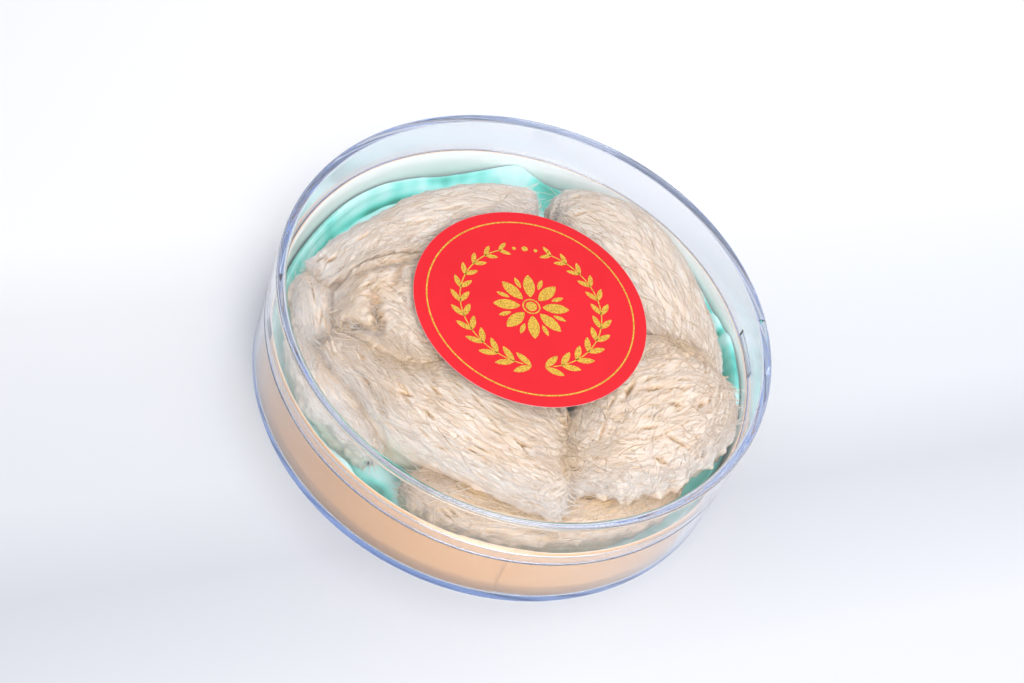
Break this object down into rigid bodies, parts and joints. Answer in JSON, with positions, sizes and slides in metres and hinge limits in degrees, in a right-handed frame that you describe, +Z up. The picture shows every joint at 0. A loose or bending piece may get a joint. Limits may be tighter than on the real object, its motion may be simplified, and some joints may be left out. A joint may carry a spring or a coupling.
{
  "type": "clear box of edible bird's nests",
  "caption": "Low round clear box with a lift-off lid, holding dried edible bird's nests packed on satin inside a card band, with a round label on the lid.",
  "frame": {"origin": "centre of the box's flat underside", "axes": "+Z up along the box's axis, +X towards one locating tab and -X towards the other, -Y towards the front where the card band's end shows"},
  "size_m": [0.15, 0.15, 0.0415],
  "materials": {
    "clear_polystyrene": "clear injection-moulded crystal polystyrene with faint blue edges, glossy",
    "champagne_card": "champagne pearl card, cream on its inner side",
    "mint_satin": "mint green polyester satin, soft folds",
    "red_label_paper": "red printed label with a gold foil ornament",
    "dried_nest": "dried swiftlet saliva strands, ivory with tan crevices"
  },
  "bodies": {
    "root": {"box_base": "clear_polystyrene", "box_lid": "clear_polystyrene", "paper_band": "champagne_card", "satin_lining": "mint_satin", "lid_label": "red_label_paper", "nest_left_wall": "dried_nest", "nest_front_low": "dried_nest", "nest_back_right": "dried_nest", "nest_front_right": "dried_nest", "nest_front_left": "dried_nest", "nest_left_folded": "dried_nest", "nest_back_left": "dried_nest"}
  },
  "joints": []
}
